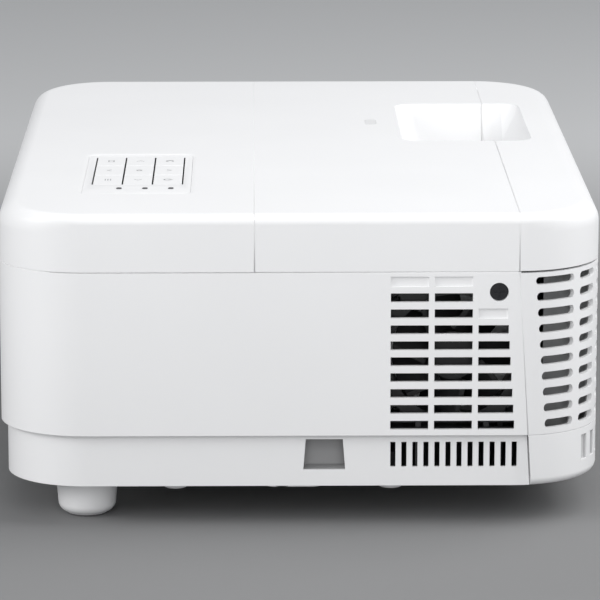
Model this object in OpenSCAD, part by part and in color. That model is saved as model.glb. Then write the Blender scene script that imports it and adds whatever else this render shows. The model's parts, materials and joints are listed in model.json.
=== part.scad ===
// Compact white data projector: shells, keys, lens, light engine, boards, fans and screw feet.
// Millimetres. +Z up, +X out of the lens, -Y the louvred side. Z = 0 is the table it stands on.

/* [Housing] */
// Depth of the housing, rear wall to front wall
body_d = 222; // [206:1:260]
// Width of the housing, side to side
body_w = 312; // [300:1:360]
// Height of the inset bottom case
base_h = 19.5; // [18:0.5:26]
// Height of the side walls between the bottom case and the covers
mid_h = 61; // [61:0.5:76]
// Height of the top covers above their seam
top_h = 21.4; // [20:0.2:28]
// Radius of the four upright corners
corner_r = 32; // [26:1:36]
// Rounding of the top edge along the front and the rear
end_round = 7.5; // [5:0.5:11]
// Rounding of the top edge along the two sides
side_round = 3.4; // [3:0.1:6]
// Thickness of the moulded walls
wall = 2.5; // [2:0.1:3]
// How far the bottom case stands in from the side walls
base_inset = 2.4; // [1.5:0.1:4]
// Rounding under the front skirt
skirt_round = 3; // [2:0.5:5]

/* [Seams] */
// Rear wall to the seam between the two top covers
cover_seam = 94.5; // [88:0.5:112]
// Front wall to the seam of the front cap
cap_len = 31; // [29:0.5:33]
// How far the bezel seam leans forward from its top to the floor
bezel_lean = 5.2; // [0:0.1:8]
// Width of an ordinary seam
seam_gap = 0.35; // [0.2:0.05:0.6]
// Width of the open joint between the front cap and the front bezel
cap_gap = 0.8; // [0.4:0.1:1.2]
// Height of the tongue that stands behind a seam
tongue_h = 2.5; // [1.5:0.1:3]
// Thickness of that tongue
tongue_t = 1.2; // [0.8:0.1:1.6]

/* [Side louvres] */
// Height of one louvre slot
slot_h = 2.9; // [2:0.1:3.4]
// Distance from slot to slot
row_pitch = 5.96; // [5.4:0.02:6.2]
// Seam to the centre of the uppermost row
first_row = 3.5; // [3:0.1:5]
// Rows of slots
rows = 10; // [6:1:10]
// Length of a slot in the side wall
slot_len = 13.9; // [10:0.1:16]
// Bar between two columns of slots
slot_bar = 2.1; // [1.5:0.1:3]
// Bar between the last column and the bezel seam
end_bar = 5.2; // [4:0.1:7]
// Depth of the blind slots
blind_depth = 0.8; // [0.4:0.1:1.2]

/* [Front louvres] */
// Angle round the corner at which the first slot starts at the top
wrap_start = 12.5; // [8:0.5:16]
// How much later it starts at the bottom
wrap_slant = 7.2; // [0:0.1:9]
// Angle at which the first slot ends
wrap_split = 42; // [38:0.5:46]
// Angle between two slots round the corner
wrap_bar = 6; // [4:0.5:8]
// Angle at which the second slot ends
wrap_end = 67; // [62:0.5:72]
// Slots along the flat front in each row
front_cols = 3; // [1:1:3]
// Length of a slot in the flat front
front_slot = 22; // [14:0.5:24]

/* [Bottom case] */
// Upright slots in the side of the bottom case
base_slots = 12; // [4:1:12]
// Distance from one upright slot to the next
base_pitch = 4.05; // [3.4:0.05:4.2]
// Width of an upright slot
base_slot_w = 1.9; // [1.2:0.1:2.2]
// Height of an upright slot
base_slot_h = 9.4; // [6:0.1:11]
// Width of the lock recess at its foot
lock_w = 15.4; // [12:0.1:18]
// Height of the lock recess
lock_h = 11.5; // [9:0.1:12]
// Depth of the lock recess
lock_d = 9; // [6:0.5:12]
// Rear wall to the middle of the lock recess
lock_x = 120; // [100:1:130]
// Distance between the ceiling-mount screws, front to rear
mount_dx = 80; // [60:1:90]
// Distance between the ceiling-mount screws, side to side
mount_dy = 268; // [220:1:270]
// Length of the bosses under the bottom case
mount_h = 5; // [3:0.5:8]
// Radius of the ceiling-mount screw holes
mount_hole_r = 2; // [1.5:0.5:2.5]

/* [Feet] */
// Gap between the table and the bottom case
foot_h = 15; // [12:0.5:20]
// Radius of a foot at its top
foot_r = 10.9; // [9:0.1:12]
// Radius of a foot above its rounded edge
foot_tip_r = 10.2; // [8.5:0.1:10.8]
// Radius of the threaded stud
stud_r = 3; // [2.5:0.5:4]
// Length of stud above the foot
stud_len = 19; // [16:0.5:20]
// Rear wall to the rear feet
foot_x = 32; // [26:1:36]
// Side wall to the rear feet
foot_y = 23; // [21:1:30]
// Front wall to the front foot
front_foot_x = 25; // [22:1:32]

/* [Keypad] */
// Distance from key to key, front to rear
key_px = 11.37; // [9:0.1:13]
// Distance from key to key, side to side
key_py = 20; // [16:0.5:22]
// Gap round a key
key_gap = 0.6; // [0.4:0.05:0.8]
// Travel of a key
key_travel = 0.6; // [0.3:0.1:0.8]
// Rear wall to the middle of the keypad
pad_x = 50.4; // [44:0.5:52]
// Side wall to the middle of the keypad
pad_y = 94; // [84:1:110]
// Extra length of the pad at the lamp end
pad_lamps = 17; // [14:0.5:22]
// Border round the keys
pad_edge = 3.3; // [2.5:0.1:5]

/* [Lens recess] */
// Length of the recess, side to side
recess_w = 92.5; // [80:0.5:100]
// Width of the recess, front to rear
recess_d = 53; // [44:0.5:55]
// Depth of the recess
recess_h = 15; // [10:0.5:16]
// Far side wall to the lens axis
lens_y = 110; // [104:1:140]
// Front wall to the recess
recess_x = 15.5; // [14:0.5:20]
// Height of the lens axis above the bottom case
lens_h = 51; // [50:0.5:54]
// Radius of the lens barrel
barrel_r = 22; // [19:0.5:22.5]
// Radius of the focus ring
ring_r = 26; // [24.5:0.5:27]
// Running clearance of the focus ring, on the radius
ring_fit = 0.05; // [0.02:0.01:0.1]

/* [Fans] */
// Side of a fan frame
fan_s = 50; // [40:1:52]
// Thickness of a fan
fan_t = 15; // [10:1:20]
// Blades of a fan
blades = 7; // [5:1:9]

/* [Hidden] */

// Planes of the housing
rear = -body_d / 2;
front = body_d / 2;
near = -body_w / 2;
far = body_w / 2;
z_base = foot_h;
z_step = z_base + base_h;
z_seam = z_step + mid_h;
z_top = z_seam + top_h;
z_floor = z_base + wall;

// Clearance between pieces that lie close without touching
fit = 0.3;
// Depth by which a cutter passes the face it opens
over = 1;
// Straight steps in each rounded corner, and in the rounding of the top edge
corner_n = 14;
round_n = 9;
inner_n = 4;

white = "#f2f2f2";
shade = "#dcdcde";
dark = "#1c1d1f";
board_green = "#24563a";
metal = "#b9bcc0";

// ---- Outlines and lofts ----

// A quarter of an ellipse about c, from angle a to a + 90
function quarter(c, rx, ry, a) =
    [for (i = [0:corner_n]) c + [rx * cos(a + 90 * i / corner_n), ry * sin(a + 90 * i / corner_n)]];

// The plan of the housing, drawn in by dx at the ends and dy at the sides
function plan(dx, dy) =
    let (cx = body_d / 2 - corner_r, cy = body_w / 2 - corner_r, rx = corner_r - dx, ry = corner_r - dy)
    concat(quarter([cx, cy], rx, ry, 0), quarter([-cx, cy], rx, ry, 90),
           quarter([-cx, -cy], rx, ry, 180), quarter([cx, -cy], rx, ry, 270));

// How far a rounding of radius r has drawn in at height h below its top
function drawn_in(r, h) = h >= r ? 0 : r - sqrt(r * r - (r - h) * (r - h));

// Levels [z, dx, dy] of the covers' surface at a depth of inset inside the outer skin
function cover_levels(inset, steps) =
    let (re = end_round - inset, rs = max(side_round - inset, 0.4), top = z_top - inset)
    concat([[z_seam - over, inset, inset]],
           [for (i = [0:steps]) let (h = re * (1 - sin(90 * i / steps)))
               [top - h, inset + drawn_in(re, h), inset + drawn_in(rs, h)]]);

// A closed skin through plan outlines at the given levels, from the bottom up
module loft(levels) {
    n = 4 * (corner_n + 1);
    last = len(levels) - 1;
    points = [for (l = levels) for (p = plan(l[1], l[2])) [p[0], p[1], l[0]]];
    sides = [for (k = [0:last - 1]) for (i = [0:n - 1]) let (j = (i + 1) % n)
        each [[k * n + i, (k + 1) * n + i, (k + 1) * n + j], [k * n + i, (k + 1) * n + j, k * n + j]]];
    polyhedron(points, concat([[for (i = [0:n - 1]) i]], sides, [[for (i = [n - 1:-1:0]) last * n + i]]),
               convexity = 4);
}

// A wall that follows the plan, from inset a to inset b, between two heights
module rim(a, b, z0, z1) {
    translate([0, 0, z0]) linear_extrude(z1 - z0, convexity = 4) difference() {
        polygon(plan(a, a));
        polygon(plan(b, b));
    }
}

// A plate that fills the plan at an inset
module plate(a, z0, z1) {
    translate([0, 0, z0]) linear_extrude(z1 - z0) polygon(plan(a, a));
}

// A block given by its two corners
module block(low, high) {
    translate(low) cube(high - low);
}

// Everything between two upright planes that lean in X, given as [x at z_base, x at z_top]
module zone(a, b) {
    rotate([90, 0, 0]) linear_extrude(body_w + 2 * over, center = true)
        polygon([[a[0], z_base - mount_h - over], [b[0], z_base - mount_h - over],
                 [b[1], z_top + over], [a[1], z_top + over]]);
}

// The same shape on both sides of the housing
module both_sides() {
    children();
    mirror([0, 1, 0]) children();
}

// A round rod along Z, X or Y
module rod(at, r, len, axis = "z", fn = 40) {
    turn = axis == "x" ? [0, 90, 0] : axis == "y" ? [-90, 0, 0] : [0, 0, 0];
    translate(at) rotate(turn) cylinder(r = r, h = len, $fn = fn);
}

// ---- Seams ----
cover_x = rear + cover_seam;
cap_x = front - cap_len;
// The bezel seam runs from cap_x at the covers' seam and leans forward on its way down
function bezel_x(z) = cap_x + bezel_lean * (z_seam - z) / (z_seam - z_base);
far_back = [rear - over, rear - over];
far_front = [front + over, front + over];
function cover_line(d) = [cover_x + d, cover_x + d];
function cap_line(d) = [cap_x + d, cap_x + d];
function bezel_line(d) = [bezel_x(z_base) + d, bezel_x(z_top) + d];
tongue_reach = 3;

// The tongue behind a seam between two covers: a strip under the top and one down each side
module cover_tongue(line_a, line_b) {
    side_low = z_seam + tongue_h + fit;
    side_high = z_top - max(side_round, wall);
    intersection() {
        union() {
            rim(wall, wall + tongue_t, side_low, side_high);
            block([rear, near + side_round, z_top - wall - tongue_t],
                  [front, far - side_round, z_top - wall]);
        }
        zone(line_a, line_b);
    }
}

// ---- Bottom case ----
lock_z = z_step - 1.9 - lock_h;
lock_taper = 0.9;
base_face = near + base_inset;
skirt_clear = skirt_round + wall + fit;
mount_front = 77;
mounts = [for (sx = [0, 1]) for (sy = [-1, 1]) [front - mount_front - mount_dx * sx, sy * mount_dy / 2]];
feet = [[rear + foot_x, near + foot_y], [rear + foot_x, far - foot_y], [front - front_foot_x, 0]];
boss_h = 6.5;
boss_r = 8;
insert_r = 3;
insert_len = 8;
mount_boss_r = 4.2;

module base_slots_cut() {
    x1 = cap_x - fit;
    z0 = z_step - 3 - base_slot_h;
    for (i = [0:base_slots - 1])
        block([x1 - base_pitch * i - base_slot_w, near - over, z0],
              [x1 - base_pitch * i, base_face + wall + over, z0 + base_slot_h]);
}

module lock_cut(grow, deep) {
    translate([rear + lock_x, base_face - over, lock_z]) rotate([-90, 0, 0]) mirror([0, 1, 0])
        linear_extrude(deep + over)
            polygon([[-lock_w / 2 - grow, -grow], [lock_w / 2 + grow, -grow],
                     [lock_w / 2 - lock_taper + grow, lock_h + grow],
                     [-lock_w / 2 + lock_taper - grow, lock_h + grow]]);
}

module bottom_case() color(shade) difference() {
    union() {
        intersection() {
            plate(base_inset, z_base, z_floor);
            zone(far_back, bezel_line(-seam_gap));
        }
        intersection() {
            plate(skirt_clear, z_base, z_floor);
            zone(cover_line(0), far_front);
        }
        intersection() {
            rim(base_inset, base_inset + wall, z_base, z_step);
            zone(far_back, bezel_line(-seam_gap));
        }
        intersection() {
            lock_cut(wall * 0.8, lock_d + wall * 0.8);
            plate(base_inset, z_base, z_step);
        }
        for (p = feet) rod([p[0], p[1], z_base], boss_r, wall + boss_h);
        for (p = mounts) rod([p[0], p[1], z_base - mount_h], mount_boss_r, mount_h + wall + boss_h);
        for (p = board_posts) rod([p[0], p[1], z_base], post_r, board_z - z_base);
        for (p = power_posts) rod([p[0], p[1], z_base], post_r, power_z - z_base);
        for (p = engine_posts) rod([p[0], p[1], z_base], engine_post_r, engine_z - z_base);
        both_sides() for (x = [fan_x - fan_s / 4, fan_x + fan_s / 4])
            block([x - 1, near + fan_in, z_base], [x + 1, near + fan_in + fan_t, fan_z - fan_s / 2]);
        for (x = [sink_x0 + 6, sink_x1 - 6])
            block([x - 1, sink_y0 + 4, z_base], [x + 1, sink_y1 - 4, sink_z0]);
    }
    lock_cut(0, lock_d);
    both_sides() base_slots_cut();
    for (p = feet) {
        rod([p[0], p[1], z_base - over], stud_r + fit, boss_h + wall + 2 * over);
        translate([p[0], p[1], z_floor + 1.5])
            cylinder(r = nut_r + 0.1, h = boss_h, $fn = 6);
    }
    for (p = mounts) rod([p[0], p[1], z_base - mount_h - over], insert_r, insert_len + over);
    for (p = case_points) rod([p[0], p[1], z_base - over], 1.6, wall + 2 * over);
    for (i = [0:floor_slots - 1])
        block([cover_x - 12 - 9 * i, -floor_slot_len / 2, z_base - over],
              [cover_x - 8 - 9 * i, floor_slot_len / 2, z_floor + over]);
}
floor_slots = 5;
floor_slot_len = 70;

// ---- Side walls ----
last_col = 14.9;
function row_z(i) = z_seam - first_row - row_pitch * i;
function col_x(k) = cap_x - last_col - (slot_len + slot_bar) * (2 - k);
// The cover screw stands in the room that the shortened third column leaves
screw_x = cap_x - last_col / 2;
screw_z = row_z(0) - slot_h - 1;
screw_recess_r = 3.45;
screw_in = wall + 2.4;
// The fans stand behind the middle column
fan_in = wall + 3.6;
fan_x = col_x(1) + slot_len / 2;
fan_z = (row_z(1) + row_z(rows - 1)) / 2 + 0.8;

// Two full columns and a third whose ends follow the bezel seam; the top slots are blind
module louvres_cut() {
    for (i = [1:rows - 1]) {
        for (k = [0, 1])
            block([col_x(k), near - over, row_z(i) - slot_h / 2],
                  [col_x(k) + slot_len, near + wall + over, row_z(i) + slot_h / 2]);
        if (i > 2)
            block([col_x(2), near - over, row_z(i) - slot_h / 2],
                  [bezel_x(row_z(i)) - end_bar, near + wall + over, row_z(i) + slot_h / 2]);
    }
    blind_h = slot_h + 0.8;
    for (k = [0, 1])
        block([col_x(k), near - over, row_z(0) - blind_h / 2],
              [col_x(k) + slot_len, near + blind_depth, row_z(0) + blind_h / 2]);
    block([col_x(2), near - over, row_z(2) - blind_h / 2],
          [bezel_x(row_z(2)) - end_bar, near + blind_depth, row_z(2) + blind_h / 2]);
}

module mid_case() color(white) difference() {
    union() {
        intersection() {
            union() {
                rim(0, wall, z_step, z_seam - seam_gap / 2);
                rim(base_inset, base_inset + wall + 1, z_step, z_step + 2);
                rim(0, base_inset + over, z_step, z_step + 2);
            }
            zone(far_back, bezel_line(-seam_gap / 2));
        }
        intersection() {
            rim(wall, wall + tongue_t, z_seam - tongue_reach, z_seam + tongue_h);
            zone(far_back, cap_line(-seam_gap));
        }
        intersection() {
            rim(wall, wall + tongue_t, z_step, z_seam - tongue_reach);
            zone(bezel_line(-tongue_reach), bezel_line(tongue_reach));
            block([0, near, z_step], [front, far, z_seam]);
        }
        both_sides() rod([screw_x, near + wall / 2, screw_z], screw_recess_r + 1.6, screw_in - wall / 2, "y");
    }
    both_sides() {
        louvres_cut();
        rod([screw_x, near - over, screw_z], screw_recess_r, wall + over, "y");
        rod([screw_x, near, screw_z], 1.6, screw_in + over, "y");
    }
    block([rear - over, panel_y0, panel_z0], [rear + wall + over, panel_y1, panel_z1]);
    for (i = [0:5])
        block([rear - over, speaker_y - 14, speaker_z - 12 + 4.4 * i],
              [rear + wall + over, speaker_y + 14, speaker_z - 10 + 4.4 * i]);
}

// ---- Top covers ----
pad_cx = rear + pad_x;
pad_cy = near + pad_y - pad_lamps / 2;
pad_w = 3 * key_px + 2 * pad_edge;
pad_l = 3 * key_py + 2 * pad_edge + pad_lamps;
pad_drop = 0.5;
pad_r = 4;
keys_y = near + pad_y;
recess_x1 = front - recess_x;
recess_x0 = recess_x1 - recess_d;
axis_y = far - lens_y;
axis_z = z_base + lens_h;
recess_y0 = axis_y - recess_w / 2;
recess_y1 = axis_y + recess_w / 2;
recess_z = z_top - recess_h;

// A rectangle with rounded corners
module soft_rect(x0, x1, y0, y1, r) {
    translate([x0 + r, y0 + r]) polygon([for (q = [[1, 1, 0], [0, 1, 90], [0, 0, 180], [1, 0, 270]])
        for (i = [0:8]) [q[0] * (x1 - x0 - 2 * r) + r * cos(q[2] + i * 90 / 8),
                         q[1] * (y1 - y0 - 2 * r) + r * sin(q[2] + i * 90 / 8)]]);
}

// The finger recess over the lens: sloping walls down to a flat floor
module recess_form(grow, z_low) {
    slope = 0.55;
    run = recess_h * slope;
    hull() {
        translate([0, 0, z_low]) linear_extrude(0.01)
            soft_rect(recess_x0 + run / 2 - grow, recess_x1 - run + grow, recess_y0 + 2 - grow,
                      recess_y1 - run + grow, 7);
        translate([0, 0, z_top + over]) linear_extrude(0.01)
            soft_rect(recess_x0 - grow, recess_x1 + grow, recess_y0 - grow, recess_y1 + grow, 8 + grow);
    }
}

// The slot in the recess floor through which the focus lever stands
lever_x = recess_x0 + 16;
module lever_slot_cut() {
    block([lever_x - 4.5, axis_y - 17, recess_z - wall - over],
          [lever_x + 4.5, axis_y + 17, recess_z + over]);
}

module cover_skin(line_a, line_b, low) {
    difference() {
        intersection() {
            loft(cover_levels(0, round_n));
            zone(line_a, line_b);
            block([rear - over, near - over, z_seam + low], [front + over, far + over, z_top + over]);
        }
        loft(cover_levels(wall, inner_n));
    }
}

module top_cover_rear() color(white) {
    difference() {
        cover_skin(far_back, cover_line(-seam_gap / 2), seam_gap / 2);
        pad_cut();
    }
    cover_tongue(cover_line(-tongue_reach), cover_line(tongue_reach));
}

// The opening for the keypad, with a sloping lip
module pad_cut() {
    translate([pad_cx, pad_cy, 0]) {
        translate([0, 0, z_top - wall - over]) linear_extrude(wall + 2 * over)
            soft_rect(-pad_w / 2, pad_w / 2, -pad_l / 2, pad_l / 2, pad_r);
        hull() {
            translate([0, 0, z_top - pad_drop]) linear_extrude(0.01)
                soft_rect(-pad_w / 2, pad_w / 2, -pad_l / 2, pad_l / 2, pad_r);
            translate([0, 0, z_top + 0.01]) linear_extrude(0.01)
                soft_rect(-pad_w / 2 - 2, pad_w / 2 + 2, -pad_l / 2 - 2, pad_l / 2 + 2, pad_r + 2);
        }
    }
}

module top_cover_front() color(white) {
    difference() {
        union() {
            cover_skin(cover_line(seam_gap / 2), cap_line(-seam_gap / 2), seam_gap / 2);
            intersection() {
                recess_form(wall * 0.8, recess_z - wall * 0.8);
                zone(cover_line(seam_gap), cap_line(-seam_gap / 2));
                block([rear, near, z_seam], [front, far, z_top - wall / 2]);
            }
        }
        recess_form(0, recess_z);
        lever_slot_cut();
        window_form(0, z_top + over);
    }
}

// A shallow seat for the translucent window beside the recess
window_x = recess_x0 - 11;
window_w = 4.4;
window_l = 13;
window_t = 1;
module window_form(shrink, z1) {
    w = window_w / 2 - shrink;
    l = window_l / 2 - shrink;
    translate([window_x, axis_y, z_top - window_t]) linear_extrude(z1 - z_top + window_t)
        soft_rect(-w, w, -l, l, w - 0.05);
}

module front_cap() color(white) {
    difference() {
        union() {
            cover_skin(cap_line(seam_gap / 2), far_front, cap_gap / 2);
            intersection() {
                recess_form(wall * 0.8, recess_z - wall * 0.8);
                zone(cap_line(seam_gap / 2), far_front);
                block([rear, near, z_seam + cap_gap], [front, far, z_top - wall / 2]);
            }
        }
        recess_form(0, recess_z);
    }
    difference() {
        cover_tongue(cap_line(-tongue_reach), cap_line(tongue_reach));
        recess_form(wall * 0.8 + fit, recess_z - wall);
    }
}

// ---- Front bezel, skirt and the baffle behind the louvres ----
corner_at = [front - corner_r, near + corner_r];
front_start = corner_at[1] + 3;

// A ray from the corner's centre at angle a round the corner, 0 along the side
function around(a, r) = corner_at + r * [sin(a), -cos(a)];

// A round-ended slot round the corner, from angle a to angle b
module wrap_slot(a, b, z) {
    inner = corner_r - wall - over;
    outer = corner_r + over;
    end = asin(slot_h / 2 / corner_r);
    n = 4;
    translate([0, 0, z - slot_h / 2]) linear_extrude(slot_h)
        polygon(concat([for (i = [0:n]) around(a + end + (b - a - 2 * end) * i / n, inner)],
                       [for (i = [n:-1:0]) around(a + end + (b - a - 2 * end) * i / n, outer)]));
    for (t = [a + end, b - end])
        translate([around(t, inner)[0], around(t, inner)[1], z]) rotate([0, 0, t - 90]) rotate([0, 90, 0])
            cylinder(r = slot_h / 2, h = outer - inner, $fn = 20);
}

module front_slots_cut() {
    for (i = [0:rows - 1]) {
        z = row_z(i);
        a = wrap_start + wrap_slant * i / (rows - 1);
        wrap_slot(a, wrap_split, z);
        wrap_slot(wrap_split + wrap_bar, wrap_end, z);
        wrap_slot(wrap_end + wrap_bar, 90, z);
        for (k = [0:front_cols - 1]) {
            y0 = front_start + (front_slot + slot_bar) * k;
            block([front - wall - over, y0 + slot_h / 2, z - slot_h / 2],
                  [front + over, y0 + front_slot - slot_h / 2, z + slot_h / 2]);
            for (y = [y0 + slot_h / 2, y0 + front_slot - slot_h / 2])
                rod([front - wall - over, y, z], slot_h / 2, wall + 2 * over, "x", 20);
        }
    }
}

surround_r = 25.5;
throat_r = 20.5;
surround_d = 12;
front_window_y = axis_y + 52;
front_window_z = axis_z + 14;
front_window_r = 5.5;

module front_bezel() color(white) difference() {
    union() {
        intersection() {
            rim(0, wall, z_step, z_seam - cap_gap / 2);
            zone(bezel_line(seam_gap / 2), far_front);
        }
        intersection() {
            rim(wall, wall + tongue_t, z_seam - tongue_reach, z_seam + tongue_h);
            zone(bezel_line(tongue_reach + fit), far_front);
        }
        translate([front - surround_d, axis_y, axis_z]) rotate([0, 90, 0])
            cylinder(r1 = throat_r + wall * 0.8, r2 = surround_r + wall * 0.8, h = surround_d - wall / 2,
                     $fn = 72);
    }
    front_slots_cut();
    translate([front - surround_d - 0.01, axis_y, axis_z]) rotate([0, 90, 0])
        cylinder(r1 = throat_r, r2 = surround_r, h = surround_d + 0.02, $fn = 72);
    rod([front - surround_d - over, axis_y, axis_z], throat_r, surround_d, "x", 72);
    translate([front, axis_y, axis_z]) rotate([0, 90, 0]) cylinder(r = surround_r, h = over, $fn = 72);
    rod([front - wall - over, front_window_y, front_window_z], front_window_r, wall + 2 * over, "x");
}

// Skirt under the bezel: rounded underneath, upright blind slots round the corners
module front_skirt() color(shade) {
    levels = [for (i = [0:4]) let (a = 90 * i / 4, d = skirt_round * (1 - sin(a)))
        [z_base + skirt_round * (1 - cos(a)), d, d]];
    difference() {
        intersection() {
            loft(concat(levels, [[z_step - seam_gap, 0, 0]]));
            zone(bezel_line(seam_gap / 2), far_front);
        }
        plate(skirt_round + wall, z_base - over, z_step + over);
        plate(wall, z_base + skirt_round + wall, z_step + over);
        both_sides() for (a = [52, 65, 78])
            translate([corner_at[0], corner_at[1], z_step - 3 - base_slot_h]) rotate([0, 0, a + 3.5 - 90])
                block([corner_r - blind_depth * 1.5, -2, 0], [corner_r + over, 2, base_slot_h]);
        for (i = [0:17])
            block([front - blind_depth * 1.5, corner_at[1] + 4 + 7.3 * i, z_step - 3 - base_slot_h],
                  [front + over, corner_at[1] + 8 + 7.3 * i, z_step - 3]);
    }
}

// A grey screen behind the louvres that hides the inside and turns the air
baffle_in = 9;
baffle_t = 1.5;
module front_baffle() color("#8d8f93") {
    z0 = z_floor + fit;
    intersection() {
        rim(baffle_in, baffle_in + baffle_t, z0, z_seam - tongue_reach - fit);
        union() {
            block([cap_x + 9.5, near, z0], [front, corner_at[1], z_seam]);
            block([front - corner_r, corner_at[1] - over, z0], [front, axis_y - surround_r - 6, z_seam]);
        }
    }
}

// ---- Rear panel and its sockets ----
panel_y0 = near + 70;
panel_y1 = far - corner_r - 2;
panel_z0 = z_step + 8;
panel_z1 = z_seam - 12;
board_z = z_step + 10;
board_t = 1.6;
panel_in = 0.6;
port_x = rear + wall;
ports_z = board_z + board_t;
shell_t = 0.8;

// Sockets along the panel: middle in Y, width, height, depth behind the panel
function port_y(i) = panel_y0 + [14, 36, 66, 96, 120, 132, 150][i];

module port_shell(y, w, h, d, deep) {
    difference() {
        block([port_x, y - w / 2, ports_z], [port_x + d, y + w / 2, ports_z + h]);
        block([port_x - over, y - w / 2 + shell_t, ports_z + shell_t],
              [port_x + deep, y + w / 2 - shell_t, ports_z + h - shell_t]);
    }
}

module port_hole(y, w, h) {
    block([rear - over, y - w / 2 - fit, ports_z - fit],
          [rear + 2 * wall, y + w / 2 + fit, ports_z + h + fit]);
}

hdmi_size = [15, 6];
usb_size = [14, 7];
serial_size = [25, 12];
vga_size = [25, 12];
jack_r = 3.6;
jack_bore_r = 1.8;
jack_z = ports_z + 5;
inlet_w = 28;
inlet_h = 20;
inlet_y = panel_y1 - 20;
inlet_z = z_step + 24;

module rear_panel() color("#3a3b3e") difference() {
    block([rear + panel_in, panel_y0 + 0.05, panel_z0 + 0.05],
          [rear + wall, panel_y1 - 0.05, panel_z1 - 0.05]);
    for (i = [0, 1]) port_hole(port_y(i), hdmi_size[0], hdmi_size[1]);
    port_hole(port_y(2), vga_size[0], vga_size[1]);
    port_hole(port_y(3), serial_size[0], serial_size[1]);
    for (i = [4, 5]) rod([rear - over, port_y(i), jack_z], jack_r + fit, wall + 2 * over, "x");
    port_hole(port_y(6), usb_size[0], usb_size[1]);
    block([rear - over, inlet_y - inlet_w / 2 - 0.3, inlet_z - inlet_h / 2 - 0.3],
          [rear + 2 * wall, inlet_y + inlet_w / 2 + 0.3, inlet_z + inlet_h / 2 + 0.3]);
}

module hdmi_ports() color(metal) for (i = [0, 1])
    port_shell(port_y(i), hdmi_size[0], hdmi_size[1], 12, 9);

module vga_port() color("#2b4fa0") port_shell(port_y(2), vga_size[0], vga_size[1], 11, 6);

module serial_port() color(metal) port_shell(port_y(3), serial_size[0], serial_size[1], 11, 6);

module usb_port() color(metal) port_shell(port_y(6), usb_size[0], usb_size[1], 14, 10);

module audio_jacks() color("#4ba03a") for (i = [4, 5]) difference() {
    union() {
        block([port_x + 1, port_y(i) - 5, ports_z], [port_x + 13, port_y(i) + 5, ports_z + 10]);
        rod([rear + 1, port_y(i), jack_z], jack_r, 3, "x");
    }
    rod([rear, port_y(i), jack_z], jack_bore_r, 12, "x");
}

// Three-pin mains socket: a deep shroud with a rim and three blades
module power_inlet() color(dark) {
    difference() {
        union() {
            block([rear + panel_in, inlet_y - inlet_w / 2, inlet_z - inlet_h / 2],
                  [rear + 22, inlet_y + inlet_w / 2, inlet_z + inlet_h / 2]);
            block([rear + wall + 0.1, inlet_y - inlet_w / 2 - 4, inlet_z - inlet_h / 2 - 2],
                  [rear + wall + 2, inlet_y + inlet_w / 2 + 4, inlet_z + inlet_h / 2 + 2]);
        }
        block([rear - over, inlet_y - inlet_w / 2 + 2, inlet_z - inlet_h / 2 + 2],
              [rear + 16, inlet_y + inlet_w / 2 - 2, inlet_z + inlet_h / 2 - 2]);
    }
    for (p = [[-7, -1.5], [0, 2.5], [7, -1.5]])
        block([rear + 6, inlet_y + p[0] - 1, inlet_z + p[1] - 2],
              [rear + 17, inlet_y + p[0] + 1, inlet_z + p[1] + 2]);
}

// ---- Boards, shield and speaker ----
post_r = 3.5;
board_x0 = rear + wall + 0.6;
board_x1 = board_x0 + 52;
board_y0 = panel_y0 - 2;
board_y1 = board_y0 + 166;
board_posts = [[board_x0 + 20, board_y0 + 6], [board_x1 - 6, board_y0 + 6],
               [board_x0 + 24, board_y1 - 24], [board_x1 - 6, board_y1 - 24]];
power_z = z_floor + 8;
power_x0 = rear + foot_x + boss_r + 4;
power_x1 = fan_x - fan_s / 2 - 4;
power_y0 = far - 62;
power_y1 = far - 9;
power_posts = [[power_x0 + 22, power_y0 + 5], [power_x1 - 5, power_y0 + 5],
               [power_x0 + 22, power_y1 - 5], [power_x1 - 5, power_y1 - 5]];

module main_board() color(board_green) difference() {
    block([board_x0, board_y0, board_z], [board_x1, board_y1, board_z + board_t]);
    for (p = board_posts) rod([p[0], p[1], board_z - over], 1.6, board_t + 2 * over);
}

module power_board() color(board_green) {
    top = power_z + board_t;
    difference() {
        block([power_x0, power_y0, power_z], [power_x1, power_y1, top]);
        for (p = power_posts) rod([p[0], p[1], power_z - over], 1.6, board_t + 2 * over);
    }
    block([power_x0 + 36, power_y0 + 14, top], [power_x0 + 60, power_y0 + 40, top + 20]);
    for (i = [0:2]) rod([power_x0 + 72, power_y0 + 12 + 13 * i, top], 5.5, 22);
    block([power_x0 + 84, power_y0 + 12, top], [power_x0 + 87, power_y0 + 42, top + 24]);
}

module power_shield() color(metal) {
    z1 = power_z + board_t + 28;
    y0 = power_y0 + 0.5;
    y1 = power_y1 - 0.5;
    difference() {
        block([power_x0 + 30, y0, power_z + board_t], [power_x1, y1, z1]);
        block([power_x0 + 29, y0 + 1, power_z], [power_x1 + 1, y1 - 1, z1 - 1]);
        for (i = [0:4]) block([power_x0 + 40 + 10 * i, y0 + 8, z1 - 2],
                              [power_x0 + 45 + 10 * i, y1 - 8, z1 + over]);
    }
}

speaker_y = near + 46;
speaker_z = z_step + 32;
module speaker() color(dark) {
    rod([rear + wall + fit, speaker_y, speaker_z], 18, 3, "x", 48);
    translate([rear + wall + fit + 3, speaker_y, speaker_z]) rotate([0, 90, 0])
        cylinder(r1 = 16, r2 = 10, h = 9, $fn = 48);
    rod([rear + wall + fit + 12, speaker_y, speaker_z], 10, 7, "x", 48);
}

// ---- Keypad ----
cap_h = 2.4;
guide_z = z_top - pad_drop - cap_h - key_travel - 0.2;
guide_t = 1.2;
stem = 5;
stem_len = 4.2;
function key_at(i) = [pad_cx + (i % 3 - 1) * key_px, keys_y + (floor(i / 3) - 1) * key_py];
lamp_y = pad_cy - pad_l / 2 + 12.5;
function lamp_x(i) = pad_cx + 3.1 + (i - 1) * 9.75;
lamp_w = 1.9;

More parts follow.
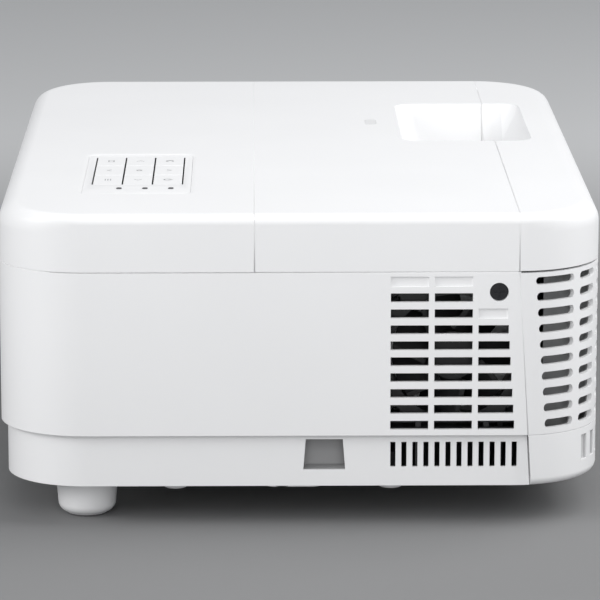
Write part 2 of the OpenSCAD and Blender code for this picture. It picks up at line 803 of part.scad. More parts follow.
// A tray: a border flush with the pad, and below it a floor that guides the stems
module keypad_plate() color(white) {
    z1 = z_top - pad_drop;
    bx = 3 * key_px / 2;
    by = 3 * key_py / 2;
    difference() {
        translate([pad_cx, pad_cy, guide_z - guide_t]) linear_extrude(z1 - guide_z + guide_t)
            soft_rect(-pad_w / 2 + 0.1, pad_w / 2 - 0.1, -pad_l / 2 + 0.1, pad_l / 2 - 0.1, pad_r - 0.1);
        block([pad_cx - bx, keys_y - by, guide_z], [pad_cx + bx, keys_y + by, z1 + over]);
        for (i = [0:8]) translate([key_at(i)[0], key_at(i)[1], guide_z - guide_t / 2])
            cube([stem + 2 * fit, stem + 2 * fit, guide_t + 2 * over], center = true);
        for (i = [0:2]) lamp_slot(i, 0.1, guide_z - guide_t - over, z1 + over);
    }
}

module lamp_slot(i, grow, z0, z1) {
    translate([lamp_x(i), lamp_y, z0]) linear_extrude(z1 - z0)
        soft_rect(-lamp_w / 2 - grow, lamp_w / 2 + grow, -lamp_w - grow, lamp_w + grow, lamp_w / 2 - 0.05);
}

module status_lamps() color("#5a5c60") for (i = [0:2])
    lamp_slot(i, 0, board2_z + board_t, z_top - pad_drop);

module key(i) color(white) {
    c = key_at(i);
    z1 = z_top - pad_drop;
    w = key_px - key_gap;
    l = key_py - key_gap;
    translate([c[0], c[1], z1 - cap_h]) {
        linear_extrude(cap_h) soft_rect(-w / 2, w / 2, -l / 2, l / 2, 0.6);
        block([-stem / 2, -stem / 2, -stem_len], [stem / 2, stem / 2, 0]);
    }
}

// Board under the keys, with one dome switch a key
switch_h = 1.5;
board2_z = z_top - pad_drop - cap_h - stem_len - key_travel - 0.1 - switch_h - board_t;
module keypad_board() color(board_green) {
    block([pad_cx - pad_w / 2, pad_cy - pad_l / 2, board2_z],
          [pad_cx + pad_w / 2, pad_cy + pad_l / 2, board2_z + board_t]);
    for (i = [0:8]) rod([key_at(i)[0], key_at(i)[1], board2_z], 2, board_t + switch_h, "z", 24);
    for (sx = [-1, 1]) for (sy = [-1, 1])
        rod([pad_cx + sx * (pad_w / 2 - 2), pad_cy + sy * (pad_l / 2 - 2), board2_z], 1.4,
            guide_z - guide_t - board2_z, "z", 24);
}

// ---- Small windows and cover screws ----
module ir_window_top() color("#e6e6e8") window_form(0.05, z_top);

module ir_window_front() color("#2a1418")
    rod([front - wall, front_window_y, front_window_z], front_window_r - 0.05, wall - 0.4, "x");

module cover_screws() color("#35363a") both_sides() difference() {
    union() {
        rod([screw_x, near + 1.4, screw_z], screw_recess_r - 0.15, wall - 1.4, "y");
        rod([screw_x, near + 1.4, screw_z], 1.55, screw_in - 1.4, "y");
    }
    for (s = [[2.2, 0.35], [0.35, 2.2]])
        block([screw_x - s[0], near, screw_z - s[1]], [screw_x + s[0], near + 1.9, screw_z + s[1]]);
}

// ---- Lens ----
lens_x0 = front - 71;
lens_x1 = front - surround_d - 0.6;
ring_x0 = lever_x - 7;
ring_x1 = lever_x + 7;
glass_r = 17;
nose_r = throat_r - 1;

// A revolved part about the lens axis, from [x, r] points
module on_axis(points, fn = 72) {
    translate([0, axis_y, axis_z]) rotate([0, 90, 0]) rotate([0, 0, 90])
        rotate_extrude($fn = fn) polygon([for (p = points) [p[1], p[0]]]);
}

module lens_barrel() color(dark) on_axis([
    [lens_x0, 13.5], [lens_x0, barrel_r - 3], [lens_x0 + 4, barrel_r - 3], [lens_x0 + 4, barrel_r],
    [ring_x1 + 6, barrel_r], [ring_x1 + 6, nose_r], [lens_x1, nose_r], [lens_x1, glass_r + 1.2],
    [lens_x1 - 4, glass_r], [lens_x1 - 12, glass_r], [lens_x1 - 12, glass_r - 2], [lens_x0 + 9, 11.5],
    [lens_x0 + 9, 13.5]]);

module front_lens() color("#8fb4c8") on_axis(concat(
    [[lens_x1 - 12 + 0.05, 0], [lens_x1 - 12 + 0.05, glass_r - 0.05], [lens_x1 - 8, glass_r - 0.05]],
    [for (i = [1:8]) let (a = 8 - i) [lens_x1 - 8 + 5 * (1 - pow(a / 8, 2)), (glass_r - 0.05) * a / 8]]));

module rear_lens() color("#8fb4c8") on_axis(concat(
    [[lens_x0 + 4, 0], [lens_x0 + 4, 13.45], [lens_x0 + 6, 13.45]],
    [for (i = [1:6]) let (a = 6 - i) [lens_x0 + 6 + 2.5 * (1 - pow(a / 6, 2)), 13.45 * a / 6]]));

// Ribbed ring with the lever that stands up into the recess
module focus_ring() color(dark) {
    difference() {
        rod([ring_x0, axis_y, axis_z], ring_r, ring_x1 - ring_x0, "x", 72);
        rod([ring_x0 - over, axis_y, axis_z], barrel_r + ring_fit, ring_x1 - ring_x0 + 2 * over, "x", 72);
        for (i = [0:29]) translate([0, axis_y, axis_z]) rotate([i * 12 + 6, 0, 0])
            block([ring_x0 + 2, -0.7, ring_r - 0.9], [ring_x1 - 2, 0.7, ring_r + over]);
    }
    block([lever_x - 3, axis_y - 3, axis_z + ring_r - 1.5], [lever_x + 3, axis_y + 3, recess_z + 2.5]);
}

module lens_flange() color(metal) difference() {
    union() {
        rod([lens_x0, axis_y, axis_z], barrel_r + 3, 4, "x", 72);
        block([lens_x0, axis_y - 26, axis_z - 26], [lens_x0 + 3, axis_y + 26, axis_z + 22]);
    }
    rod([lens_x0 - over, axis_y, axis_z], barrel_r - 3, 6, "x", 72);
    for (sy = [-1, 1]) for (sz = [-22, 18])
        rod([lens_x0 - over, axis_y + sy * 22, axis_z + sz], 1.7, 6, "x", 20);
}

// ---- Light engine ----
engine_x1 = lens_x0;
engine_x0 = lens_x0 - 58;
engine_y0 = axis_y - 32;
engine_y1 = axis_y + 34;
engine_z = axis_z - 27;
engine_top = axis_z + 23;
engine_post_r = 4;
engine_posts = [[engine_x0 + 8, engine_y0 + 7], [engine_x1 - 8, engine_y0 + 7],
                [engine_x0 + 8, engine_y1 - 7], [engine_x1 - 8, engine_y1 - 7]];

// Cast housing: stepped plan, ribbed lid, and the mouth that the lens looks into
module optical_engine() color("#54575c") difference() {
    union() {
        translate([0, 0, engine_z]) linear_extrude(engine_top - engine_z - 4)
            polygon([[engine_x0, engine_y0 + 6], [engine_x0 + 18, engine_y0 + 6], [engine_x0 + 22, engine_y0],
                     [engine_x1 - 14, engine_y0], [engine_x1 - 10, engine_y0 + 4], [engine_x1, engine_y0 + 4],
                     [engine_x1, engine_y1 - 4], [engine_x1 - 24, engine_y1], [engine_x0 + 12, engine_y1],
                     [engine_x0, engine_y1 - 12]]);
        for (i = [0:4]) block([engine_x0 + 6 + 11 * i, engine_y0 + 7, engine_top - 4],
                              [engine_x0 + 8 + 11 * i, engine_y1 - 13, engine_top]);
    }
    rod([engine_x1 - 30, axis_y, axis_z], 11, 31, "x", 48);
}

light_x0 = engine_x0 + 22;
light_x1 = engine_x1 - 14;
light_y0 = engine_y0 - 26;
pipe_r = 3;
light_top = axis_z + 16;
pipe_z = light_top + pipe_r;
function pipe_x(i) = light_x0 + 3 + pipe_r + 8 * i;

module light_module() color("#2f3236") {
    block([light_x0, light_y0, engine_z + 8], [light_x1, engine_y0, light_top]);
    block([light_x0 - 3, light_y0 + 8, engine_z + 4], [light_x1 + 3, light_y0 + 11, light_top - 4]);
}

sink_x0 = light_x0 - 4;
sink_x1 = fan_x + fan_s / 2;
sink_y0 = near + fan_in + fan_t + 3;
sink_y1 = sink_y0 + 34;
sink_z0 = fan_z - fan_s / 2;
sink_z1 = max(pipe_z + pipe_r + 3, fan_z + fan_s / 2);

module pipes(grow) {
    for (i = [0:2])
        rod([pipe_x(i), sink_y0 + 1, pipe_z], pipe_r + grow, engine_y0 - sink_y0 - 3, "y", 32);
}

module light_heatsink() color(metal) difference() {
    union() {
        for (i = [0:11])
            block([sink_x0, sink_y0 + 3 * i, sink_z0], [sink_x1, sink_y0 + 3 * i + 0.8, sink_z1]);
        block([sink_x0 + 2, sink_y0, pipe_z - pipe_r - 2],
              [sink_x1 - 2, sink_y1 - 0.2, pipe_z + pipe_r + 1]);
    }
    pipes(0);
}

module heat_pipes() color("#b87333") pipes(0);

module mirror_chip_board() color(board_green)
    block([engine_x0 - board_t, axis_y - 24, axis_z - 22], [engine_x0, axis_y + 20, axis_z + 20]);

module mirror_chip_heatsink() color(metal) {
    x1 = engine_x0 - board_t;
    block([x1 - 4, axis_y - 18, axis_z - 16], [x1, axis_y + 14, axis_z + 14]);
    for (i = [0:7])
        block([x1 - 18, axis_y - 18 + 4.4 * i, axis_z - 16], [x1 - 3, axis_y - 16.8 + 4.4 * i, axis_z + 14]);
}

// ---- Fans ----
hub_r = 9;
pin_r = 1.5;
fan_bore = fan_s / 2 - 2;

// Along +Y from the origin: frame, motor cup on three arms, bearing pin
module fan_frame() color(dark) rotate([-90, 0, 0]) {
    difference() {
        translate([-fan_s / 2, -fan_s / 2, 0]) cube([fan_s, fan_s, fan_t]);
        translate([0, 0, -over]) cylinder(r = fan_bore, h = fan_t + 2 * over, $fn = 64);
        for (sx = [-1, 1]) for (sy = [-1, 1])
            translate([sx * (fan_s / 2 - 4), sy * (fan_s / 2 - 4), -over])
                cylinder(r = 1.9, h = fan_t + 2 * over, $fn = 20);
    }
    translate([0, 0, fan_t - 3]) cylinder(r = hub_r, h = 3, $fn = 48);
    translate([0, 0, 3]) cylinder(r = pin_r, h = fan_t - 4, $fn = 32);
    for (i = [0:2]) rotate([0, 0, 120 * i + 15])
        translate([0, -1.5, fan_t - 2]) cube([fan_bore + 1, 3, 2]);
}

module fan_rotor() color("#2a2b2e") rotate([-90, 0, 0]) difference() {
    union() {
        translate([0, 0, 1]) cylinder(r = hub_r, h = fan_t - 4.6, $fn = 48);
        intersection() {
            translate([0, 0, 1]) cylinder(r = fan_bore - 0.8, h = fan_t - 4.6, $fn = 64);
            for (i = [0:blades - 1]) rotate([0, 0, 360 / blades * i])
                translate([hub_r - 1, 0, fan_t / 2 - 1.3]) rotate([38, 0, 0])
                    translate([0, -9, -0.6]) cube([fan_bore, 18, 1.2]);
        }
    }
    translate([0, 0, 2.5]) cylinder(r = pin_r + ring_fit, h = fan_t, $fn = 32);
}

module at_exhaust() translate([fan_x, near + fan_in, fan_z]) children();
module at_intake() mirror([0, 1, 0]) translate([fan_x, near + fan_in, fan_z]) children();
module exhaust_fan_frame() at_exhaust() fan_frame();
module exhaust_fan_rotor() at_exhaust() fan_rotor();
module intake_fan_frame() at_intake() fan_frame();
module intake_fan_rotor() at_intake() fan_rotor();

// ---- Fasteners ----
module pan_screw(at, r, len, flip = false) {
    translate(at) mirror([0, 0, flip ? 1 : 0]) difference() {
        union() {
            cylinder(r = 2 * r, h = 1.6, $fn = 32);
            translate([0, 0, -len]) cylinder(r = r, h = len + 0.1, $fn = 24);
        }
        for (a = [0, 90]) rotate([0, 0, a]) block([-r, -0.3, 0.8], [r, 0.3, 2]);
    }
}

module board_screws() color(metal) {
    for (p = board_posts) pan_screw([p[0], p[1], board_z + board_t], 1.5, board_t);
    for (p = power_posts) pan_screw([p[0], p[1], power_z + board_t], 1.5, board_t);
}

case_points = [[rear + 14, 0], [cover_x + 10, near + 10], [cover_x + 10, far - 10]];
module case_screws() color("#4a4b4f") for (p = case_points)
    pan_screw([p[0], p[1], z_base], 1.5, wall + 4, true);

module ceiling_mount_inserts() color("#b08d3c") for (p = mounts) difference() {
    rod([p[0], p[1], z_base - mount_h], insert_r, insert_len, "z", 48);
    rod([p[0], p[1], z_base - mount_h - over], mount_hole_r, insert_len + 2 * over, "z", 48);
}

// ---- Screw feet ----
nut_r = 5.2 + stud_r * 0.2;
pad_t = 1.6;
pad_disc_r = 7.5;
foot_round = 4;

module foot_nuts() color(metal) for (p = feet) difference() {
    translate([p[0], p[1], z_floor + 1.5]) cylinder(r = nut_r, h = 5, $fn = 6);
    rod([p[0], p[1], z_floor], stud_r + ring_fit, 8, "z", 48);
}

// Knob with its stud moulded in: a slightly tapered drum with a rounded lower edge
module foot(p) color(shade) translate([p[0], p[1], 0]) rotate_extrude($fn = 64) polygon(concat(
    [[0, pad_t + 0.1], [pad_disc_r + 0.1, pad_t + 0.1], [pad_disc_r + 0.1, 0.6]],
    [for (i = [0:6]) [foot_tip_r - foot_round * (1 - sin(15 * i)), 0.6 + foot_round * (1 - cos(15 * i))]],
    [[foot_r, z_base - fit - 0.6], [foot_r - 0.6, z_base - fit], [stud_r, z_base - fit],
     [stud_r, z_base + stud_len - 0.8], [stud_r - 0.8, z_base + stud_len], [0, z_base + stud_len]]));

module foot_pad(p) color("#77797c") translate([p[0], p[1], 0]) cylinder(r = pad_disc_r, h = pad_t, $fn = 48);

bottom_case();
mid_case();
top_cover_rear();
top_cover_front();
front_cap();
front_bezel();
front_skirt();
rear_panel();
front_baffle();
keypad_plate();
keypad_board();
status_lamps();
key(0);  // key_1
key(1);  // key_2
key(2);  // key_3
key(3);  // key_4
key(4);  // key_5
key(5);  // key_6
key(6);  // key_7
key(7);  // key_8
key(8);  // key_9
ir_window_top();
ir_window_front();
cover_screws();
lens_barrel();
front_lens();
rear_lens();
focus_ring();
lens_flange();
optical_engine();
light_module();
light_heatsink();
heat_pipes();
mirror_chip_board();
mirror_chip_heatsink();
main_board();
power_board();
power_shield();
speaker();
exhaust_fan_frame();
exhaust_fan_rotor();
intake_fan_frame();
intake_fan_rotor();
power_inlet();
hdmi_ports();
vga_port();
usb_port();
audio_jacks();
serial_port();
board_screws();
case_screws();
ceiling_mount_inserts();
foot_nuts();
foot(feet[0]);  // rear_foot_near
foot(feet[1]);  // rear_foot_far
foot(feet[2]);  // front_foot
foot_pad(feet[0]);  // rear_foot_near_pad
foot_pad(feet[1]);  // rear_foot_far_pad
foot_pad(feet[2]);  // front_foot_pad
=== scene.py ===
# %% [markdown]
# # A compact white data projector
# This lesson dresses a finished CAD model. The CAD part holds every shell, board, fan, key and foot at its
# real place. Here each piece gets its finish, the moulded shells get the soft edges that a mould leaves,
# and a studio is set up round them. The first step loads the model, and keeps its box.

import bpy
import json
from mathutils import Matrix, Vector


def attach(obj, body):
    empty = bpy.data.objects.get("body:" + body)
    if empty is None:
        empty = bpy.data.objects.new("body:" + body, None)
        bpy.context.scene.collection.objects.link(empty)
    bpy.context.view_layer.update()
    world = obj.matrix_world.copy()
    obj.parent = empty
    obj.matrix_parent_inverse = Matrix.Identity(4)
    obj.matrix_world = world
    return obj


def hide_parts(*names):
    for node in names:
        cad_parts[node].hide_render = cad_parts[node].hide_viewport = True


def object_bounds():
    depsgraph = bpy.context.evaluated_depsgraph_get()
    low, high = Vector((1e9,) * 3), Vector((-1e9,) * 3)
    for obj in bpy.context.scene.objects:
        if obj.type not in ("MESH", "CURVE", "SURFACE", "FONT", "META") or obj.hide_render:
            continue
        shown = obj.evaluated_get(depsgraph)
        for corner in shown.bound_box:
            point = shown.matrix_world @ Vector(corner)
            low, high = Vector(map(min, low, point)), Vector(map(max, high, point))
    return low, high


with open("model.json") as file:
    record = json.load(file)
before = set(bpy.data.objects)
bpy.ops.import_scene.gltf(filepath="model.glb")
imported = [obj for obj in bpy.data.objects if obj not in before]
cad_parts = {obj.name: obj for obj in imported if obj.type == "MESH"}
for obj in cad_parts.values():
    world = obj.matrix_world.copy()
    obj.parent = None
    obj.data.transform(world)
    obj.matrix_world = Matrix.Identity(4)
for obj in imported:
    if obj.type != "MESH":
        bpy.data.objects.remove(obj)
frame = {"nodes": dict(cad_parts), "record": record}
cad_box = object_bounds()

# %% The other modules, and the unit of length
import json
from math import cos, degrees, pi, radians, sin

import bmesh
import bpy
from mathutils import Matrix, Vector

mm = 0.001
scene = bpy.context.scene
print("Blender", bpy.app.version_string)

# %% [markdown]
# ## Measures from the model
# The finishes and the added pieces follow the model, so their places are read from it: how far the housing
# reaches, the height of its seams, and the middles of the keys, the lens and the side screws.

# %% Read the measures
def box_of(node):
    """The lowest and the highest corner of a node."""
    points = [v.co for v in frame["nodes"][node].data.vertices]
    return [Vector([pick(p[axis] for p in points) for axis in range(3)]) for pick in (min, max)]


def middle_of(node):
    """The middle of a node's box."""
    low, high = box_of(node)
    return (low + high) / 2


seam_gap = 0.35 * mm
half_depth, half_width, top_height = box_of("front_bezel")[1].x, box_of("mid_case")[1].y, cad_box[1][2]
floor_height = box_of("front_skirt")[0].z
step_height = box_of("front_skirt")[1].z + seam_gap
seam_height = box_of("top_cover_rear")[0].z - seam_gap / 2
cover_seam_x = box_of("top_cover_front")[0].x - seam_gap / 2
cap_seam_x = box_of("top_cover_front")[1].x + seam_gap / 2
key_top = box_of("key_1")[1].z
print("seams at z", round(step_height / mm, 1), "and", round(seam_height / mm, 1), "mm, at x",
      round(cover_seam_x / mm, 1), "and", round(cap_seam_x / mm, 1), "mm")

# %% [markdown]
# ## The camera
# The projector was photographed with a long lens from a good distance, nearly square to its louvred side
# and a little from above. A long lens keeps its upright lines nearly upright. The place and the angles are
# those of a camera fitted to the seams and corners of the housing.

# %% Make the camera
camera_place = Vector((-17.3, -1577.3, 390.1)) * mm
look_down = radians(12.1)
look_right = radians(0.7)
lens_length = 240

camera_data = bpy.data.cameras.new("camera")
camera_data.lens = lens_length
camera_data.sensor_width = 36
camera_data.clip_start = 0.05
camera = bpy.data.objects.new("camera", camera_data)
camera.location = camera_place
camera.rotation_euler = (pi / 2 - look_down, 0, -look_right)
scene.collection.objects.link(camera)
scene.camera = camera
print("camera is", round(camera_place.length, 2), "m away")

# %% [markdown]
# ## The studio
# White plastic shows its form only through small steps of grey, so it needs broad, soft light: a large
# panel overhead, one on the left, one behind the camera and a pale sky. A small panel close above the near
# wall makes it a little darker towards the floor, and a second one, close on the right, makes the rounded
# front edge shine. The floor is a pale disc with a painted shadow: it is darker close to the housing,
# which also keeps it from throwing light up at the lower walls.

# %% The floor
# Painted shadow: the floor's colour close to the housing, darker than the pale colour further out.
floor_shadow_colour = (0.21, 0.211, 0.213)
floor_far_colour = (0.56, 0.565, 0.57)
floor_near = 0.25
floor_far = 0.75
floor_radius = 6.0
floor_sides = 96

floor_mesh = bpy.data.meshes.new("floor")
disc = bmesh.new()
bmesh.ops.create_circle(disc, cap_ends=True, segments=floor_sides, radius=floor_radius)
disc.to_mesh(floor_mesh)
disc.free()
floor = bpy.data.objects.new("floor", floor_mesh)
scene.collection.objects.link(floor)
print("floor radius", floor_radius, "m")

# %% Paint the floor
floor_paint = bpy.data.materials.new("floor_paint")
floor_paint.use_nodes = True
floor_shader = floor_paint.node_tree.nodes["Principled BSDF"]
floor_shader.inputs["Roughness"].default_value = 0.9
floor_shader.inputs["Specular IOR Level"].default_value = 0.2
floor_mesh.materials.append(floor_paint)

tree = floor_paint.node_tree
floor_place = tree.nodes.new("ShaderNodeTexCoord")
distance = tree.nodes.new("ShaderNodeVectorMath")
distance.operation = "LENGTH"
reach = tree.nodes.new("ShaderNodeMapRange")
reach.interpolation_type = "SMOOTHSTEP"
reach.inputs["From Min"].default_value = floor_near
reach.inputs["From Max"].default_value = floor_far
shade = tree.nodes.new("ShaderNodeValToRGB")
shade.color_ramp.elements[0].color = (*floor_shadow_colour, 1)
shade.color_ramp.elements[1].color = (*floor_far_colour, 1)
tree.links.new(floor_place.outputs["Object"], distance.inputs[0])
tree.links.new(distance.outputs["Value"], reach.inputs["Value"])
tree.links.new(reach.outputs["Result"], shade.inputs["Fac"])
tree.links.new(shade.outputs["Color"], floor_shader.inputs["Base Color"])
print("floor darkens from", floor_far, "m to", floor_near, "m")

# %% The light
sky_colour = (0.9, 0.92, 0.95)
sky_strength = 0.39
aim_point = Vector((0, 0, 0.06))


def softbox(name, place, size, watts):
    """A square panel of light that faces the middle of the projector. Place and size are in metres."""
    data = bpy.data.lights.new(name, "AREA")
    data.shape = "SQUARE"
    data.size = size
    data.energy = watts
    lamp = bpy.data.objects.new(name, data)
    lamp.location = place
    aim = aim_point - Vector(place)
    lamp.rotation_euler = aim.to_track_quat("-Z", "Y").to_euler()
    scene.collection.objects.link(lamp)


softbox("overhead", (0.9, 0.2, 1.5), 1.2, 13.8)
softbox("left", (-1.7, -0.7, 0.9), 1.0, 17.7)
softbox("front", (0.0, -2.0, 0.7), 1.2, 11.4)
softbox("close_above", (0.0, -0.65, 0.62), 0.5, 1.1)
softbox("close_right", (0.8, -0.2, 0.6), 0.5, 3.5)

world = bpy.data.worlds.new("studio")
world.use_nodes = True
sky = world.node_tree.nodes["Background"]
sky.inputs["Color"].default_value = (*sky_colour, 1)
sky.inputs["Strength"].default_value = sky_strength
scene.world = world
scene.view_settings.view_transform = "Standard"

# %% [markdown]
# ## The finishes
# Nearly all that shows is one plastic: white, satin, moulded against a spark-eroded tool, which leaves a
# grain too fine to see as dots but strong enough to spread the highlights. So the plastic is built from
# three noises: a broad one shifts the colour a trace, a middling one shifts the roughness, and a fine one
# lifts the surface by some hundredths of a millimetre. The other plastics differ only in their values.

# %% A grained finish from three noises
tint_per_m = 18
sheen_per_m = 240
grain_per_m = 2600
grain_height = 0.03 * mm
sheen_spread = 0.05


def noise(tree, where, per_metre, detail=2.0):
    """A noise with that many features to the metre, which takes its place from a socket."""
    texture = tree.nodes.new("ShaderNodeTexNoise")
    texture.inputs["Scale"].default_value = per_metre
    texture.inputs["Detail"].default_value = detail
    tree.links.new(where, texture.inputs["Vector"])
    return texture


def grained(name, colour, roughness, spread=0.02, bump=0.12, per_metre=grain_per_m, metallic=0.0):
    """A satin surface with a fine grain, a trace of colour variation and an uneven roughness."""
    paint = bpy.data.materials.new(name)
    paint.use_nodes = True
    tree = paint.node_tree
    shader = tree.nodes["Principled BSDF"]
    shader.inputs["Metallic"].default_value = metallic
    where = tree.nodes.new("ShaderNodeTexCoord").outputs["Object"]

    tint = tree.nodes.new("ShaderNodeValToRGB")
    tint.color_ramp.elements[0].color = (*[c * (1 - spread) for c in colour], 1)
    tint.color_ramp.elements[1].color = (*[min(1, c * (1 + spread)) for c in colour], 1)
    broad = noise(tree, where, tint_per_m)
    tree.links.new(broad.outputs["Fac"], tint.inputs["Fac"])
    tree.links.new(tint.outputs["Color"], shader.inputs["Base Color"])

    matt = tree.nodes.new("ShaderNodeMapRange")
    matt.inputs["To Min"].default_value = roughness - sheen_spread
    matt.inputs["To Max"].default_value = roughness + sheen_spread
    middling = noise(tree, where, sheen_per_m)
    tree.links.new(middling.outputs["Fac"], matt.inputs["Value"])
    tree.links.new(matt.outputs["Result"], shader.inputs["Roughness"])

    lift = tree.nodes.new("ShaderNodeBump")
    lift.inputs["Strength"].default_value = bump
    lift.inputs["Distance"].default_value = grain_height
    fine = noise(tree, where, per_metre, detail=3.0)
    tree.links.new(fine.outputs["Fac"], lift.inputs["Height"])
    tree.links.new(lift.outputs["Normal"], shader.inputs["Normal"])
    return paint


white = (0.84, 0.84, 0.845)
white_roughness = 0.42
finishes = {
    "white_plastic": grained("white_plastic", white, white_roughness),
    "panel_plastic": grained("panel_plastic", (0.035, 0.035, 0.038), 0.5),
    "baffle_plastic": grained("baffle_plastic", (0.33, 0.332, 0.337), 0.6),
    "black_plastic": grained("black_plastic", (0.016, 0.016, 0.018), 0.45),
    "blue_plastic": grained("blue_plastic", (0.02, 0.06, 0.3), 0.4),
    "green_plastic": grained("green_plastic", (0.06, 0.3, 0.07), 0.4),
    "grey_rubber": grained("grey_rubber", (0.09, 0.09, 0.095), 0.8, bump=0.3, per_metre=1500),
    "cast_alloy": grained("cast_alloy", (0.3, 0.305, 0.32), 0.55, bump=0.5, per_metre=900, metallic=0.9),
}
print("grained finishes:", ", ".join(finishes))

# %% [markdown]
# Metals need little more than a colour and a roughness, but a drawn or rolled sheet carries fine lines
# along one direction. Stretching a noise along an axis gives such lines. The circuit boards are a green
# lacquer over copper: a few straight bands of lighter green stand for the tracks under it.

# %% Metals
line_scale = (1, 0.05, 1)
lines_per_m = 3200


def brushed(name, colour, roughness):
    """A metal with fine lines along Y, where the noise is drawn out."""
    paint = bpy.data.materials.new(name)
    paint.use_nodes = True
    tree = paint.node_tree
    shader = tree.nodes["Principled BSDF"]
    shader.inputs["Metallic"].default_value = 1.0
    shader.inputs["Base Color"].default_value = (*colour, 1)
    coordinates = tree.nodes.new("ShaderNodeTexCoord")
    mapping = tree.nodes.new("ShaderNodeMapping")
    mapping.inputs["Scale"].default_value = line_scale
    tree.links.new(coordinates.outputs["Object"], mapping.inputs["Vector"])
    lines = noise(tree, mapping.outputs["Vector"], lines_per_m, detail=4.0)
    matt = tree.nodes.new("ShaderNodeMapRange")
    matt.inputs["To Min"].default_value = roughness - 0.08
    matt.inputs["To Max"].default_value = roughness + 0.12
    tree.links.new(lines.outputs["Fac"], matt.inputs["Value"])
    tree.links.new(matt.outputs["Result"], shader.inputs["Roughness"])
    return paint


finishes["bright_steel"] = brushed("bright_steel", (0.6, 0.61, 0.63), 0.3)
finishes["black_steel"] = brushed("black_steel", (0.04, 0.04, 0.043), 0.38)
finishes["bare_aluminium"] = brushed("bare_aluminium", (0.75, 0.76, 0.78), 0.35)
finishes["copper"] = brushed("copper", (0.72, 0.36, 0.2), 0.3)
finishes["brass"] = brushed("brass", (0.68, 0.5, 0.2), 0.32)
print("finishes with the metals:", len(finishes))

# %% Circuit boards
tracks_per_m = 220
mask_green = (0.015, 0.09, 0.035)
track_green = (0.03, 0.16, 0.06)


def circuit_board():
    """Green solder mask with tracks that show through as lighter bands."""
    paint = grained("circuit_board", (0.02, 0.11, 0.045), 0.35)
    tree = paint.node_tree
    shader = tree.nodes["Principled BSDF"]
    tracks = tree.nodes.new("ShaderNodeTexWave")
    tracks.inputs["Scale"].default_value = tracks_per_m
    tracks.inputs["Distortion"].default_value = 0.6
    bands = tree.nodes.new("ShaderNodeValToRGB")
    bands.color_ramp.elements[0].position = 0.55
    bands.color_ramp.elements[0].color = (*mask_green, 1)
    bands.color_ramp.elements[1].position = 0.62
    bands.color_ramp.elements[1].color = (*track_green, 1)
    tree.links.new(tree.nodes["Texture Coordinate"].outputs["Object"], tracks.inputs["Vector"])
    tree.links.new(tracks.outputs["Fac"], bands.inputs["Fac"])
    tree.links.new(bands.outputs["Color"], shader.inputs["Base Color"])
    return paint


finishes["circuit_board"] = circuit_board()
print("finishes so far:", len(finishes))

# %% [markdown]
# The lenses are coated glass. The window in the front is dark red and looks nearly black, and the status
# lamps are smoked plastic. Both let a little light in. The window beside the recess is milky, so hardly
# any light seems to enter it, and it is painted as a closed surface.

# %% Glass and windows


def clear(name, colour, roughness, through, coat=0.0):
    """A see-through finish. Through is the share of the light that goes in."""
    paint = grained(name, colour, roughness, bump=0.02)
    shader = paint.node_tree.nodes["Principled BSDF"]
    shader.inputs["Transmission Weight"].default_value = through
    shader.inputs["IOR"].default_value = 1.5
    shader.inputs["Coat Weight"].default_value = coat
    shader.inputs["Coat Tint"].default_value = (0.75, 0.6, 1.0, 1)
    return paint


finishes["lens_glass"] = clear("lens_glass", (0.93, 0.95, 1.0), 0.06, 1.0, coat=0.6)
finishes["clear_window"] = clear("clear_window", (0.79, 0.79, 0.795), 0.3, 0.0)
finishes["dark_window"] = clear("dark_window", (0.05, 0.008, 0.012), 0.12, 0.2)
finishes["lamp_plastic"] = clear("lamp_plastic", (0.06, 0.06, 0.065), 0.3, 0.1)
print("finishes with the glass:", len(finishes))

# %% [markdown]
# The photo shows nothing pale through the louvres, so painted shade darkens the inside of the cases. Masks
# in
# the paint find the inside: one says how deep a point lies behind the rounded outline, others say on which
# side of a plane it lies. The slits between the keys get painted shade in the same way, by their height
# alone.

# %% Masks for painted shade
corner_radius = 32 * mm

# The mix node has one set of sockets for each type of value. These are the ones for colours.
colour_a, colour_b, colour_out = 6, 7, 2


def chain(tree, node_type, operation, source, value=None):
    """Adds one maths node behind a socket."""
    node = tree.nodes.new(node_type)
    node.operation = operation
    tree.links.new(source, node.inputs[0])
    if value is not None:
        node.inputs[1].default_value = value
    return node


def deep(paint, depth):
    """1 deeper than this behind the rounded outline."""
    tree = paint.node_tree
    step = tree.nodes["Texture Coordinate"].outputs["Object"]
    core = (half_depth - corner_radius, half_width - corner_radius, 1)
    for operation, value in (("ABSOLUTE", None), ("SUBTRACT", core), ("MAXIMUM", (0, 0, 0))):
        step = chain(tree, "ShaderNodeVectorMath", operation, step, value).outputs["Vector"]
    length = chain(tree, "ShaderNodeVectorMath", "LENGTH", step).outputs["Value"]
    return chain(tree, "ShaderNodeMath", "LESS_THAN", length, corner_radius - depth).outputs["Value"]


def side(paint, axis, operation, value):
    """1 on one side of a plane across an axis."""
    tree = paint.node_tree
    split = tree.nodes.new("ShaderNodeSeparateXYZ")
    tree.links.new(tree.nodes["Texture Coordinate"].outputs["Object"], split.inputs["Vector"])
    return chain(tree, "ShaderNodeMath", operation, split.outputs[axis], value).outputs["Value"]


def paint_over(paint, masks, colour):
    """Lays a painted shade colour over a paint's own where all masks are 1."""
    tree = paint.node_tree
    common = masks[0]
    for mask in masks[1:]:
        node = chain(tree, "ShaderNodeMath", "MULTIPLY", common)
        tree.links.new(mask, node.inputs[1])
        common = node.outputs["Value"]
    colour_input = tree.nodes["Principled BSDF"].inputs["Base Color"]
    own_colour = colour_input.links[0].from_socket
    layer = tree.nodes.new("ShaderNodeMix")
    layer.data_type = "RGBA"
    layer.inputs[colour_b].default_value = (*colour, 1)
    tree.links.new(common, layer.inputs["Factor"])
    tree.links.new(own_colour, layer.inputs[colour_a])
    tree.links.new(layer.outputs[colour_out], colour_input)


print("masks reach", round(half_depth / mm), "and", round(half_width / mm), "mm from the middle")

